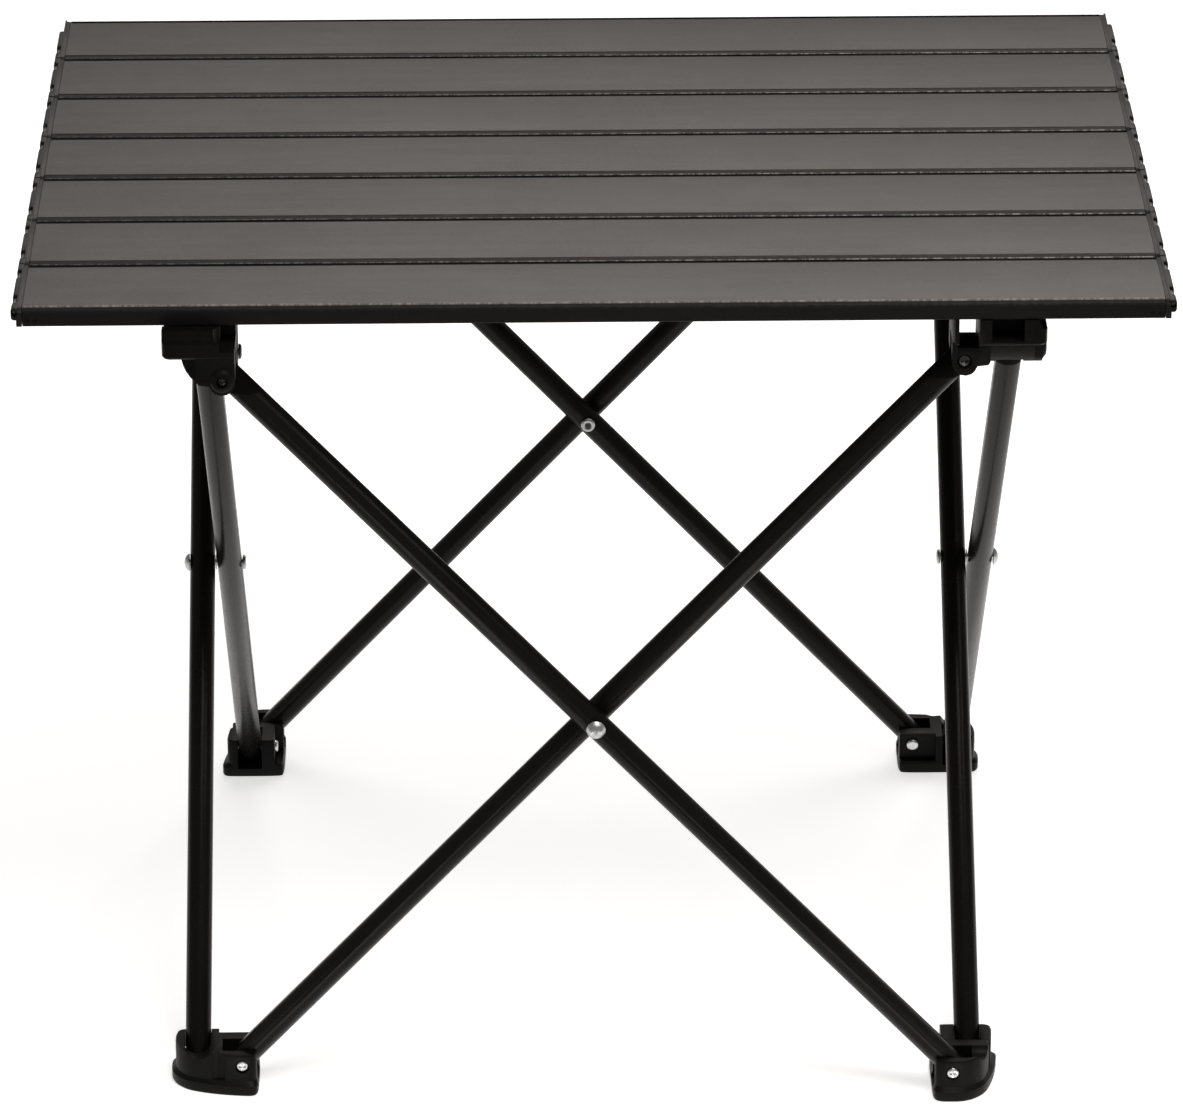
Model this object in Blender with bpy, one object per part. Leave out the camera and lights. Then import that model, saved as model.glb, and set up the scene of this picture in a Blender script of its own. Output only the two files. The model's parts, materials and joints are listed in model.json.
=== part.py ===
"""Folding side table: seven-slat roll-up top on a four-sided scissor frame.

Metres, +Z up, X along the slats, front of the table at -Y, origin on the
floor under the middle of the top.
"""
import math
import bpy
import bmesh
from mathutils import Matrix, Vector

# ---- driving dimensions -------------------------------------------------
TOP_WIDTH = 0.560        # over the end caps, X
TOP_DEPTH = 0.416        # seven slats, Y
TOP_Z = 0.431            # top surface
SLAT_COUNT = 7
SLAT_T = 0.010           # slat height
SLAT_METAL = 0.0578      # width of one extrusion
SLAT_END = 0.2745        # end of the metal from the middle
SLAT_WALL = 0.0015
CAP_WIDTH = 0.0588
CAP_PLATE = 0.2775       # outer face of the cap's plate; the rail stands proud of it
RAIL_Z0 = TOP_Z - 0.0066 # the cord rail on the cap
RAIL_Z1 = TOP_Z - 0.0004
LUG = 0.0078             # rail end before its window
WINDOW = 0.0100          # open stretch of the rail
CORD_X = 0.27835
CORD_Z = TOP_Z - 0.0034
CORD_R = 0.0011
CORD_HOLE = 0.0014
CORD_END = 0.0030        # front end, inside the first rail
CORD_BACK = 0.0200       # back end, inside the last rail

TUBE_R = 0.0065
TUBE_BORE = 0.0053
TUBE_OVER = 0.0075       # tube past its end pivot
H = 0.179                # half spread of the pivots
P_OUT = 0.202            # plane of the outer tubes
P_IN = 0.188             # plane of the inner tubes
Z_LO = 0.015             # lower pivots
Z_UP = 0.396             # upper pivots
PIN_R = 0.0017
PIN_HOLE = 0.0020
SLOT = 0.0068            # half width of a tube slot
SWEEP = 0.0103           # clear radius round a tube end
GAP = 0.0003

P_MID = (P_OUT + P_IN) / 2
Z_MID = (Z_LO + Z_UP) / 2
PITCH = TOP_DEPTH / SLAT_COUNT
SLAT_BOT = TOP_Z - SLAT_T
HUB_TOP = SLAT_BOT - GAP - Z_UP      # above the pivot

SIDES = ("front", "right", "back", "left")
CORNERS = ("fl", "fr", "br", "bl")

for o in list(bpy.data.objects):
    bpy.data.objects.remove(o, do_unlink=True)


# ---- materials ----------------------------------------------------------
def material(name, colour, rough, metal):
    m = bpy.data.materials.new(name)
    m.use_nodes = True
    b = m.node_tree.nodes["Principled BSDF"]
    b.inputs["Base Color"].default_value = (*colour, 1.0)
    b.inputs["Roughness"].default_value = rough
    b.inputs["Metallic"].default_value = metal
    m.diffuse_color = (*colour, 1.0)
    return m


STYLE = {
    "slat": ((0.105, 0.10, 0.095), 0.45, 0.0),
    "cap": ((0.055, 0.053, 0.052), 0.60, 0.0),
    "cord": ((0.02, 0.02, 0.02), 0.90, 0.0),
    "leg": ((0.018, 0.017, 0.018), 0.35, 0.2),
    "hub": ((0.020, 0.019, 0.019), 0.50, 0.0),
    "foot": ((0.028, 0.028, 0.027), 0.55, 0.0),
    "rivet": ((0.80, 0.80, 0.80), 0.28, 1.0),
    "pin": ((0.62, 0.62, 0.62), 0.32, 1.0),
}


# ---- mesh helpers -------------------------------------------------------
def finish(name, mesh, style, origin=(0, 0, 0), smooth=False):
    """Put a mesh given in world coordinates on its own named object."""
    mesh.name = name
    mesh.transform(Matrix.Translation(-Vector(origin)))
    o = bpy.data.objects.new(name, mesh)
    o.location = origin
    bpy.context.collection.objects.link(o)
    mesh.materials.clear()
    mesh.materials.append(material(name + "_mat", *STYLE[style]))
    for p in mesh.polygons:
        p.use_smooth = smooth
    return o


def to_mesh(bm):
    bmesh.ops.recalc_face_normals(bm, faces=bm.faces)
    me = bpy.data.meshes.new("m")
    bm.to_mesh(me)
    bm.free()
    return me


def box(x0, x1, y0, y1, z0, z1):
    bm = bmesh.new()
    bmesh.ops.create_cube(bm, size=1.0)
    for v in bm.verts:
        v.co = Vector(((x0 + x1) / 2 + v.co.x * (x1 - x0),
                       (y0 + y1) / 2 + v.co.y * (y1 - y0),
                       (z0 + z1) / 2 + v.co.z * (z1 - z0)))
    return to_mesh(bm)


def loft(rings):
    """Closed body through rings of equal vertex count."""
    bm = bmesh.new()
    vs = [[bm.verts.new(p) for p in r] for r in rings]
    n = len(rings[0])
    for a, b in zip(vs, vs[1:]):
        for i in range(n):
            bm.faces.new((a[i], a[(i + 1) % n], b[(i + 1) % n], b[i]))
    bm.faces.new(list(reversed(vs[0])))
    bm.faces.new(vs[-1])
    return to_mesh(bm)


def lathe(profile, n, axis, centre):
    """Turn (radius, along) pairs round an axis through centre.

    The first and last pairs have radius 0 for a solid, or the profile is
    closed by itself when its first and last pairs are equal."""
    ax = Vector(axis).normalized()
    side = Vector((0, 0, 1)) if abs(ax.z) < 0.5 else Vector((1, 0, 0))
    e1 = (side - ax * side.dot(ax)).normalized()
    e2 = ax.cross(e1)
    bm = bmesh.new()
    closed = profile[0] == profile[-1]
    prof = profile[:-1] if closed else profile
    rings = []
    for r, t in prof:
        c = Vector(centre) + ax * t
        if r <= 1e-9:
            rings.append([bm.verts.new(c)])
        else:
            rings.append([bm.verts.new(c + (e1 * math.cos(a) + e2 * math.sin(a)) * r)
                          for a in [2 * math.pi * (i + 0.5) / n for i in range(n)]])
    pairs = list(zip(rings, rings[1:]))
    if closed:
        pairs.append((rings[-1], rings[0]))
    for a, b in pairs:
        if len(a) == 1 and len(b) == 1:
            continue
        for i in range(n):
            j = (i + 1) % n
            if len(a) == 1:
                bm.faces.new((a[0], b[i], b[j]))
            elif len(b) == 1:
                bm.faces.new((a[i], a[j], b[0]))
            else:
                bm.faces.new((a[i], a[j], b[j], b[i]))
    return to_mesh(bm)


def rod(r, p0, p1, n=12):
    p0, p1 = Vector(p0), Vector(p1)
    d = (p1 - p0).length
    return lathe([(0, 0), (r, 0), (r, d), (0, d)], n, p1 - p0, p0)


def cut(mesh, cutters, add=()):
    """Boolean additions then cuts, evaluated to a plain mesh."""
    base = bpy.data.objects.new("tmp_base", mesh)
    bpy.context.collection.objects.link(base)
    tools = []
    for op, group in (("UNION", add), ("DIFFERENCE", cutters)):
        for c in group:
            t = bpy.data.objects.new("tmp_cut", c)
            t.hide_render = True
            t.display_type = "WIRE"
            bpy.context.collection.objects.link(t)
            m = base.modifiers.new("b", "BOOLEAN")
            m.operation = op
            m.solver = "EXACT"
            m.object = t
            tools.append(t)
    dg = bpy.context.evaluated_depsgraph_get()
    dg.update()
    out = bpy.data.meshes.new_from_object(base.evaluated_get(dg))
    for t in tools + [base]:
        bpy.data.objects.remove(t, do_unlink=True)
    bm = bmesh.new()
    bm.from_mesh(out)
    bmesh.ops.remove_doubles(bm, verts=bm.verts, dist=1e-6)
    bmesh.ops.dissolve_limit(bm, angle_limit=0.01, verts=bm.verts, edges=bm.edges)
    bmesh.ops.triangulate(bm, faces=[f for f in bm.faces if len(f.verts) > 4])
    bm.to_mesh(out)
    bm.free()
    return out


def turned(mesh, k):
    """Copy of a front-left mesh turned to corner or side k."""
    m = mesh.copy()
    m.transform(Matrix.Rotation(k * math.pi / 2, 4, "Z"))
    return m


def rot(p, k):
    return tuple(Matrix.Rotation(k * math.pi / 2, 3, "Z") @ Vector(p))


# ---- top: slats ---------------------------------------------------------
def slat_mesh(yc):
    w = SLAT_METAL / 2
    t = SLAT_WALL
    lip = 0.0062
    z1, z0 = TOP_Z, SLAT_BOT
    prof = [(-w, z0), (-w, z1 - 0.0016), (-w + 0.0007, z1 - 0.0006), (-w + 0.0024, z1),
            (w - 0.0007, z1), (w, z1 - 0.0007), (w, z0), (w - lip, z0), (w - lip, z0 + 0.0013),
            (w - t, z0 + 0.0013), (w - t, z1 - t), (-w + t + 0.0006, z1 - t),
            (-w + t, z1 - t - 0.0006), (-w + t, z0 + 0.0013), (-w + lip, z0 + 0.0013),
            (-w + lip, z0)]
    return loft([[(x, yc + y, z) for y, z in prof] for x in (-SLAT_END, SLAT_END)])


def cap_mesh(yc, s, last=False):
    """End cap at x sign s: plate over the slat end, plug inside it, and a
    rail outside that carries the cord, open at two windows."""
    w = CAP_WIDTH / 2
    x0, x1, x2 = SLAT_END + GAP, CAP_PLATE, TOP_WIDTH / 2
    z0, z1 = SLAT_BOT, TOP_Z
    ring0 = [(-w, z0), (-w, z1 - 0.0012), (-w + 0.0012, z1), (w - 0.0012, z1), (w, z1 - 0.0012), (w, z0)]
    ring1 = [(-w + 0.0006, z0 + 0.0006), (-w + 0.0006, z1 - 0.0014), (-w + 0.0014, z1 - 0.0006),
             (w - 0.0014, z1 - 0.0006), (w - 0.0006, z1 - 0.0014), (w - 0.0006, z0 + 0.0006)]
    body = loft([[(s * x0, yc + y, z) for y, z in ring0],
                 [(s * (x1 - 0.0006), yc + y, z) for y, z in ring0],
                 [(s * x1, yc + y, z) for y, z in ring1]])
    iw = SLAT_METAL / 2 - SLAT_WALL - 0.0009
    xs = sorted((s * 0.2600, s * (x0 + 0.001)))
    plug = box(xs[0], xs[1], yc - iw, yc + iw, z0 + 0.0013 + GAP, z1 - SLAT_WALL - GAP)
    zm = (RAIL_Z0 + RAIL_Z1) / 2
    sec = [(x1 - 0.0008, RAIL_Z0), (x2 - 0.0010, RAIL_Z0), (x2, RAIL_Z0 + 0.0014),
           (x2, RAIL_Z1 - 0.0012), (x2 - 0.0008, RAIL_Z1), (x1 - 0.0008, RAIL_Z1)]
    rail = loft([[(s * x, yc + y, z) for x, z in sec] for y in (-w + 0.0002, w - 0.0002)])
    hole = rod(CORD_HOLE, (s * CORD_X, yc - w - 0.002, CORD_Z), (s * CORD_X, yc + w + 0.002, CORD_Z), 10)
    gone = []
    xs = sorted((s * (x1 + 0.0001), s * (x2 + 0.002)))
    for e in (-1, 1):
        a = w - LUG
        ys = sorted((yc + e * a, yc + e * (a - WINDOW)))
        if last and e == 1:
            ys[1] = yc + w + 0.01
        gone.append(box(xs[0], xs[1], ys[0], ys[1], RAIL_Z0 - 0.002, RAIL_Z1 + 0.002))
    return cut(body, gone + [hole], add=[plug, rail])


# ---- frame: tubes -------------------------------------------------------
def tube_mesh(kind):
    """Front tube: 'outer' runs upper left to lower right, 'inner' the other way."""
    y = -P_OUT if kind == "outer" else -P_IN
    lo = Vector((H if kind == "outer" else -H, y, Z_LO))
    up = Vector((-H if kind == "outer" else H, y, Z_UP))
    d = (up - lo).normalized()
    a, b = lo - d * TUBE_OVER, up + d * TUBE_OVER
    n = 18
    length = (b - a).length
    body = lathe([(TUBE_BORE, 0), (TUBE_R, 0), (TUBE_R, length), (TUBE_BORE, length), (TUBE_BORE, 0)],
                 n, d, a)
    holes = [rod(PIN_HOLE, (c.x, y - 0.01, c.z), (c.x, y + 0.01, c.z), 8)
             for c in (lo, up, (lo + up) / 2)]
    return cut(body, holes)


# ---- frame: upper hub (front left, u and v inward from the pivots) -------
def uv_box(u0, u1, v0, v1, z0, z1, zp):
    return box(-H + u0, -H + u1, -H + v0, -H + v1, zp + z0, zp + z1)


HUB = (-0.0287, 0.0062, -0.0392, 0.0062)
FAR = 0.060
UO, VO = -(P_OUT - H), -(P_OUT - H)    # outer tube centre planes from the pivots
UI, VI = -(P_IN - H), -(P_IN - H)      # inner tube centre planes
BOSS_N = 10
PIN_N = 10
SADDLE_N = 14


def prism(pts, k, a, b):
    """Prism of a 2-D outline: k is the axis it runs along, a to b; u, v measured from the pivots."""
    rings = []
    for t in (a, b):
        ring = []
        for p, q in pts:
            if k == "u":
                ring.append((-H + t, -H + p, Z_UP + q))
            elif k == "v":
                ring.append((-H + p, -H + t, Z_UP + q))
            else:
                ring.append((-H + p, -H + q, Z_UP + t))
        rings.append(ring)
    return loft(rings)


def hub_mesh():
    u0, u1, v0, v1 = HUB
    zt, r, z = HUB_TOP, 0.003, Z_UP
    plan = [(u0, v0 + r), (u0 + r * 0.3, v0 + r * 0.3), (u0 + r, v0), (u1, v0), (u1, v1), (u0 + r, v1),
            (u0 + r * 0.3, v1 - r * 0.3), (u0, v1 - r)]

    def ring(zz, g):
        cu, cv = (u0 + u1) / 2, (v0 + v1) / 2
        return [(-H + cu + (u - cu) * g, -H + cv + (v - cv) * g, z + zz) for u, v in plan]
    body = loft([ring(0.0114, 0.955), ring(0.0126, 1.0), ring(zt, 1.0)])
    lobe = [(-0.0124, 0.0125), (-0.0124, -0.0006), (-0.0114, -0.0020), (-0.0062, -0.0026), (-0.0050, -0.0050),
            (-0.0034, -0.0066), (-0.0008, -0.0074), (0.0022, -0.0070), (0.0044, -0.0054), (0.0058, -0.0030),
            (u1, 0.0), (u1, 0.0125)]
    front = prism(lobe, "v", v0 + 0.0006, VI - 0.0030)
    side = prism(lobe, "u", UI - SLOT - 0.0042, u1)
    flank = prism([(-0.0200, 0.0125), (-0.0196, 0.0100), (-0.0188, 0.0068), (-0.0175, 0.0036), (-0.0156, 0.0006),
                   (-0.0132, -0.0020), (-0.0112, -0.0022), (-0.0100, 0.0125)], "v", -0.0340, VI - 0.0030)
    boss = lathe([(0, VO - 0.0178), (0.0030, VO - 0.0178), (0.0044, VO - 0.0174), (0.0054, VO - 0.0166), (0.0060, VO - 0.0156),
                  (0.0060, VO - 0.0110), (0, VO - 0.0110)],
                 BOSS_N, (0, 1, 0), (-H, -H, z))
    cuts = [
        # outer tube slot, runs inward and down
        uv_box(-SWEEP, FAR, VO - SLOT, VO + SLOT, -FAR, SWEEP, z),
        # inner tube slot
        uv_box(UI - SLOT, UI + SLOT, -SWEEP, FAR, -FAR, SWEEP, z),
        # opening over the inner tube's end, right through under the slat
        uv_box(-FAR, FAR, -0.0066, 0.0034, 0.0070, FAR, z),
        uv_box(UI, FAR, -0.0066, 0.0034, 0.0048, FAR, z),
        # window in the front face over the outer tube's end
        uv_box(-0.0010, FAR, -FAR, VO + SLOT, 0.0152, FAR, z),
        lathe([(0, 0.0152), (0.0050, 0.0152), (0.0050, 0.060), (0, 0.060)], BOSS_N * 2, (0, 0, 1),
              (-H + 0.0011, -H - 0.0345, z)),
        # pocket in the outer side face
        uv_box(-FAR, -0.0130, -0.0280, -0.0124, 0.0134, FAR, z),
        # latch ledge along the front edge
        prism([(-0.050, zt - 0.0052), (-0.0366, zt - 0.0052), (-0.0362, zt - 0.0034), (-0.0352, zt - 0.0030),
               (-0.0346, zt + 0.01), (-0.050, zt + 0.01)], "u", -0.06, 0.06),
        # pin holes and counterbores
        rod(PIN_HOLE, (-H, -H + VO - 0.02, z), (-H, -H - 0.0125, z), PIN_N),
        rod(0.0028, (-H, -H + VO - 0.03, z), (-H, -H + VO - 0.0145, z), PIN_N + 2),
        rod(PIN_HOLE, (-H - 0.03, -H, z), (-H + 0.02, -H, z), PIN_N),
        rod(0.0036, (-H - 0.03, -H, z), (-H - 0.0180, -H, z), PIN_N + 2),
    ]
    return cut(body, cuts, add=[front, side, flank, boss])


# ---- frame: foot (front left) -------------------------------------------
FOOT_TOP = 0.0066


def foot_mesh():
    z = Z_LO
    # plan outline of the base and of the upper part, u then v
    out = [(0.0080, -0.0200), (0.0070, -0.0232), (0.0040, -0.0244), (-0.0095, -0.0226), (-0.0190, -0.0202),
           (-0.0280, -0.0167), (-0.0340, -0.0107), (-0.0366, -0.0045), (-0.0366, 0.0052), (-0.0350, 0.0088),
           (-0.0310, 0.0100), (0.0055, 0.0100), (0.0080, 0.0080)]
    up = [(0.0074, -0.0176), (0.0064, -0.0202), (0.0036, -0.0216), (-0.0090, -0.0206), (-0.0180, -0.0186),
          (-0.0268, -0.0157), (-0.0318, -0.0105), (-0.0344, -0.0045), (-0.0344, 0.0048), (-0.0330, 0.0082),
          (-0.0300, 0.0092), (0.0054, 0.0092), (0.0074, 0.0076)]

    def ring(pts, zz, g=1.0):
        cu = sum(p[0] for p in pts) / len(pts)
        cv = sum(p[1] for p in pts) / len(pts)
        return [(-H + cu + (u - cu) * g, -H + cv + (v - cv) * g, z + zz) for u, v in pts]
    body = loft([ring(out, -Z_LO, 0.975), ring(out, -Z_LO + 0.0010), ring(out, -0.0098),
                 ring(up, -0.0078), ring(up, FOOT_TOP - 0.0012), ring(up, FOOT_TOP, 0.972)])
    cuts = [
        # outer tube slot, runs back and up
        uv_box(UO - SLOT, UO + SLOT, -SWEEP, FAR, -SWEEP, FAR, z),
        # inner tube slot, runs right and up
        uv_box(-SWEEP, FAR, VI - SLOT, VI + SLOT, -SWEEP, FAR, z),
        # saddle notch in front of the outer tube
        rod(0.0070, (-H + UO, -H - 0.030, z + 0.0096), (-H + UO, -H - 0.009, z + 0.0096), SADDLE_N),
        # back corner lowered behind the inner clevis
        uv_box(UO + SLOT + 0.0036, FAR, 0.0046, FAR, -0.0078, FAR, z),
        # shallow flute in the front face between the two clevises
        lathe([(0, -0.0078), (0.0050, -0.0078), (0.0050, 0.040), (0, 0.040)], SADDLE_N, (0, 0, 1),
              (-H - 0.0130, -H - 0.0232, z)),
        # pin holes and screw counterbores
        rod(PIN_HOLE, (-H, -H - 0.03, z), (-H, -H + 0.01, z), PIN_N),
        rod(PIN_HOLE, (-H + UO - 0.02, -H, z), (-H - 0.0125, -H, z), PIN_N),
        rod(0.0036, (-H + UO - 0.03, -H, z), (-H + UO - 0.0098, -H, z), PIN_N + 2),
        rod(0.0036, (-H, -H - 0.03, z), (-H, -H - 0.0188, z), PIN_N + 2),
    ]
    return cut(body, cuts)


# ---- fasteners ----------------------------------------------------------
def screw(centre, axis, head_at, tail_at, head_r, tail_r=0.0, tail_t=0.0015, n=10):
    """Screw along axis: head ends at head_at, shaft runs to tail_at."""
    hr = head_r
    prof = [(0, head_at), (hr * 0.72, head_at), (hr, head_at + 0.0007), (hr, head_at + 0.0017),
            (PIN_R, head_at + 0.0017), (PIN_R, tail_at)]
    if tail_r:
        prof += [(tail_r, tail_at), (tail_r * 0.75, tail_at + tail_t), (0, tail_at + tail_t)]
    else:
        prof += [(0, tail_at)]
    body = lathe(prof, n, axis, centre)
    ax = Vector(axis)
    e1 = Vector((0, 0, 1))
    e2 = ax.cross(e1)
    cross = []
    for a, b in ((e1, e2), (e2, e1)):
        m = box(-0.5, 0.5, -0.5, 0.5, -0.5, 0.5)
        m.transform(Matrix((
            (a.x * 0.0034, b.x * 0.0008, ax.x * 0.0016, centre[0] + ax.x * head_at),
            (a.y * 0.0034, b.y * 0.0008, ax.y * 0.0016, centre[1] + ax.y * head_at),
            (a.z * 0.0034, b.z * 0.0008, ax.z * 0.0016, centre[2] + ax.z * head_at),
            (0, 0, 0, 1))))
        if m.polygons and Matrix((a, b, ax)).determinant() < 0:
            m.flip_normals()
        cross.append(m)
    return cut(body, cross)


def rivet_mesh():
    """Domed head outside, collar between the tubes, rolled hollow end inside."""
    y0 = -P_OUT - TUBE_R
    yi = -P_IN + TUBE_R
    g = GAP
    prof = [(0.0, -0.0031), (0.0024, -0.0028), (0.0040, -0.0018), (0.0047, -g),
            (PIN_R, -g)]
    m0 = (P_OUT - P_IN - 2 * TUBE_R) / 2
    yc = 2 * TUBE_R + m0          # middle of the gap, from y0
    prof += [(PIN_R, yc - m0 + g), (0.0040, yc - m0 + g), (0.0040, yc + m0 - g), (PIN_R, yc + m0 - g)]
    t = yi - y0
    prof += [(PIN_R, t + g), (0.0036, t + g), (0.0038, t + 0.0012), (0.0030, t + 0.0020),
             (0.0013, t + 0.0016), (0.0011, t - 0.0020), (0, t - 0.0020)]
    return lathe(prof, 14, (0, 1, 0), (0, y0, Z_MID))


# ---- build --------------------------------------------------------------
for i in range(SLAT_COUNT):
    yc = -TOP_DEPTH / 2 + PITCH * (i + 0.5)
    hinge_y = -TOP_DEPTH / 2 + PITCH * i
    at = (0, hinge_y, TOP_Z)
    finish("slat_%d" % (i + 1), slat_mesh(yc), "slat", at)
    end = i == SLAT_COUNT - 1
    finish("cap_l_%d" % (i + 1), cap_mesh(yc, -1, end), "cap", at)
    finish("cap_r_%d" % (i + 1), cap_mesh(yc, 1, end), "cap", at)

for s, n in ((-1, "l"), (1, "r")):
    finish("cord_" + n, rod(CORD_R, (s * CORD_X, -TOP_DEPTH / 2 + CORD_END, CORD_Z),
                            (s * CORD_X, TOP_DEPTH / 2 - CORD_BACK, CORD_Z), 8),
           "cord", (0, 0, TOP_Z), True)

outer, inner = tube_mesh("outer"), tube_mesh("inner")
hub, foot = hub_mesh(), foot_mesh()
rivet = rivet_mesh()
# hub screws: front one is blind, side one shows its tail inside
pin_ho = screw((-H, -H, Z_UP), (0, 1, 0), VO - 0.0168, -0.0128, 0.0024)
pin_hi = screw((-H, -H, Z_UP), (1, 0, 0), -0.0198, 0.0066, 0.0031, 0.0038)
# foot screws: both heads sunk flush
pin_fi = screw((-H, -H, Z_LO), (0, 1, 0), -0.0208, 0.0050, 0.0031, 0.0034)
pin_fo = screw((-H, -H, Z_LO), (1, 0, 0), UO - 0.0118, -0.0128, 0.0030)

for k in range(4):
    side, corner = SIDES[k], CORNERS[k]
    finish("leg_outer_" + side, turned(outer, k), "leg", rot((0, -P_OUT, Z_MID), k), True)
    finish("leg_inner_" + side, turned(inner, k), "leg", rot((-H, -P_IN, Z_LO), k), True)
    finish("rivet_" + side, turned(rivet, k), "rivet", rot((0, -P_MID, Z_MID), k), True)
    finish("hub_" + corner, turned(hub, k), "hub", rot((-H, -H, Z_UP), k))
    finish("foot_" + corner, turned(foot, k), "foot", rot((-H, -H, Z_LO), k))
    finish("screw_hub_outer_" + corner, turned(pin_ho, k), "pin", rot((-H, -P_OUT, Z_UP), k))
    finish("screw_hub_inner_" + corner, turned(pin_hi, k), "pin", rot((-P_IN, -H, Z_UP), k))
    finish("screw_foot_inner_" + corner, turned(pin_fi, k), "pin", rot((-H, -P_IN, Z_LO), k))
    finish("screw_foot_outer_" + corner, turned(pin_fo, k), "pin", rot((-P_OUT, -H, Z_LO), k))
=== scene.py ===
import json
import math
import bpy
import bmesh
from mathutils import Matrix, Vector


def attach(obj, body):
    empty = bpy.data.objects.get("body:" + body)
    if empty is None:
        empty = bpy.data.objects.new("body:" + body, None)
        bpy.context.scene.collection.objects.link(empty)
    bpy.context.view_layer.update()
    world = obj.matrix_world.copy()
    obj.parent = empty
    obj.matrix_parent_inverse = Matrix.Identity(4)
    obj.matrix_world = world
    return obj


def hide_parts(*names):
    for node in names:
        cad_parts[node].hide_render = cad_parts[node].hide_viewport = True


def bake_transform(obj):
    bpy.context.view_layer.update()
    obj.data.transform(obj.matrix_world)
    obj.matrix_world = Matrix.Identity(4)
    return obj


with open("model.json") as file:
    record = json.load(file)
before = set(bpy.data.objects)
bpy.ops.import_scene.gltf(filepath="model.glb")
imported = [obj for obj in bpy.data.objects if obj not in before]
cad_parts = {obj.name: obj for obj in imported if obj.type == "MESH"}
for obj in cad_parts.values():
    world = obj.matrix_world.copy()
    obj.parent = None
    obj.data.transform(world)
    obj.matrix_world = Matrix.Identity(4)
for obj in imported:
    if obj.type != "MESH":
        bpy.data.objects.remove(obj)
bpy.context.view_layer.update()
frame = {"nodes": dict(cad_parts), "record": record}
NODES = frame["nodes"]
BODY = {n: b for b, ns in frame["record"]["behaviour"]["bodies"].items() for n in ns}

# ---------------------------------------------------------------- dimensions
TOP_WIDTH, TOP_DEPTH, TOP_Z, SLAT_COUNT, SLAT_T = 0.560, 0.416, 0.431, 7, 0.010
SLAT_METAL, SLAT_END, SLAT_WALL, CAP_WIDTH = 0.0578, 0.2745, 0.0015, 0.0588
CAP_PLATE = 0.2775
RAIL_Z0, RAIL_Z1, LUG, WINDOW = TOP_Z - 0.0066, TOP_Z - 0.0004, 0.0078, 0.0100
CORD_X, CORD_Z, CORD_R, CORD_HOLE = 0.27835, TOP_Z - 0.0034, 0.0011, 0.0014
CORD_END, CORD_BACK = 0.0030, 0.0200
TUBE_R, TUBE_BORE, TUBE_OVER = 0.0065, 0.0053, 0.0075
H, P_OUT, P_IN, Z_LO, Z_UP = 0.179, 0.202, 0.188, 0.015, 0.396
PIN_R, PIN_HOLE, SLOT, SWEEP, GAP = 0.0017, 0.0020, 0.0068, 0.0103, 0.0003
SNUG = 0.00658
P_MID, Z_MID = (P_OUT + P_IN) / 2, (Z_LO + Z_UP) / 2
PITCH = TOP_DEPTH / SLAT_COUNT
SLAT_BOT = TOP_Z - SLAT_T
HUB_TOP = SLAT_BOT - GAP - Z_UP
SIDES = ("front", "right", "back", "left")
CORNERS = ("fl", "fr", "br", "bl")


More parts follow.
